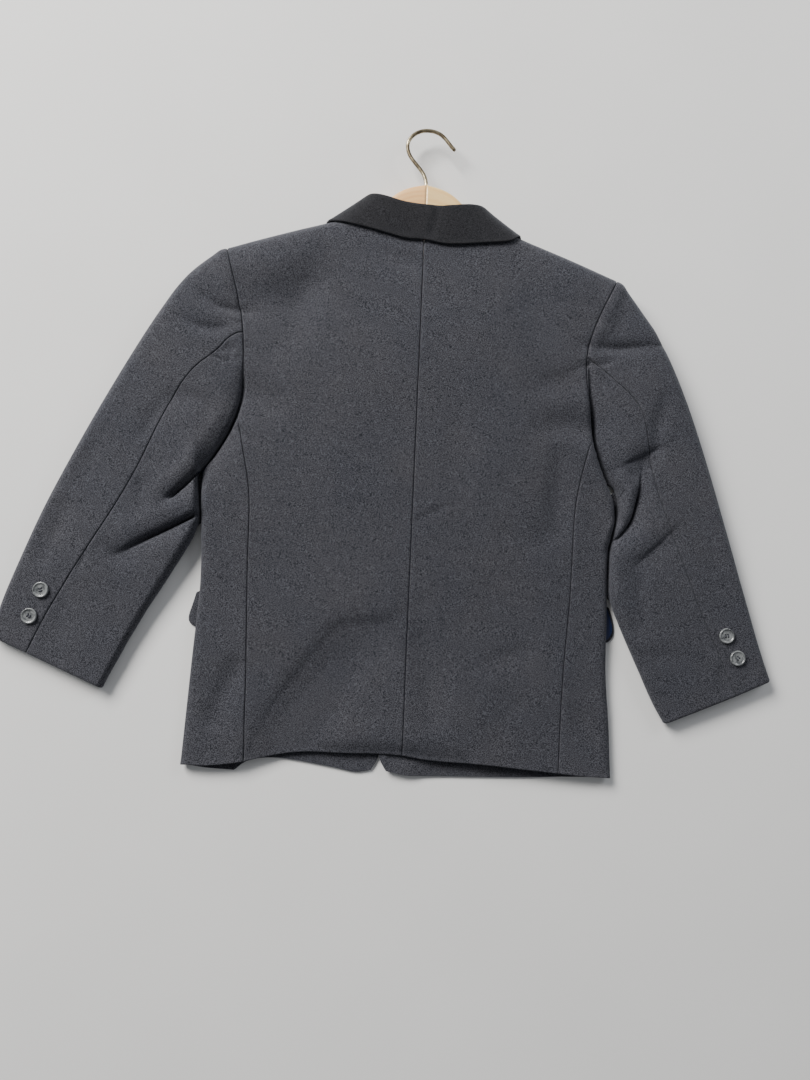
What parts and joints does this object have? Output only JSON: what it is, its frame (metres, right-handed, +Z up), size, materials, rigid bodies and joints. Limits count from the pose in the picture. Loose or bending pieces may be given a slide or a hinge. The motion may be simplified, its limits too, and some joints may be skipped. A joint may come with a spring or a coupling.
{
  "type": "child's suit coat on a hanger",
  "caption": "Child's single-breasted suit coat laid flat face down, back seam, two-piece sleeves and turned collar, over a wooden hanger with a wire hook.",
  "frame": {"origin": "centre of the bounding box in plan, on the table the coat lies on", "axes": "+Z up through the lying coat, its back uppermost; +Y from the hem to the collar and the hook; +X to the wearer's right hand"},
  "size_m": [0.7498, 0.6524, 0.0361],
  "materials": {
    "cloth": "dark navy wool-blend twill with a soft dull sheen",
    "lining": "smooth royal blue lining",
    "button": "smoky grey marbled, half clear",
    "wood": "clear varnished light wood",
    "brass": "dull aged brass wire"
  },
  "bodies": {
    "root": {"back_left": "cloth", "back_right": "cloth", "side_left": "cloth", "side_right": "cloth", "front_left": "cloth", "front_right": "cloth", "lapel_left": "cloth", "lapel_right": "cloth", "collar": "cloth", "top_sleeve_left": "cloth", "top_sleeve_right": "cloth", "under_sleeve_left": "cloth", "under_sleeve_right": "cloth", "pocket_flap_left": "cloth", "pocket_flap_right": "cloth", "flap_lining_left": "lining", "flap_lining_right": "lining", "cuff_button_left_1": "button", "cuff_button_left_2": "button", "cuff_button_right_1": "button", "cuff_button_right_2": "button", "front_button_1": "button", "front_button_2": "button", "hanger_half_left": "wood", "hanger_half_right": "wood", "hanger_hook": "brass"}
  },
  "joints": []
}
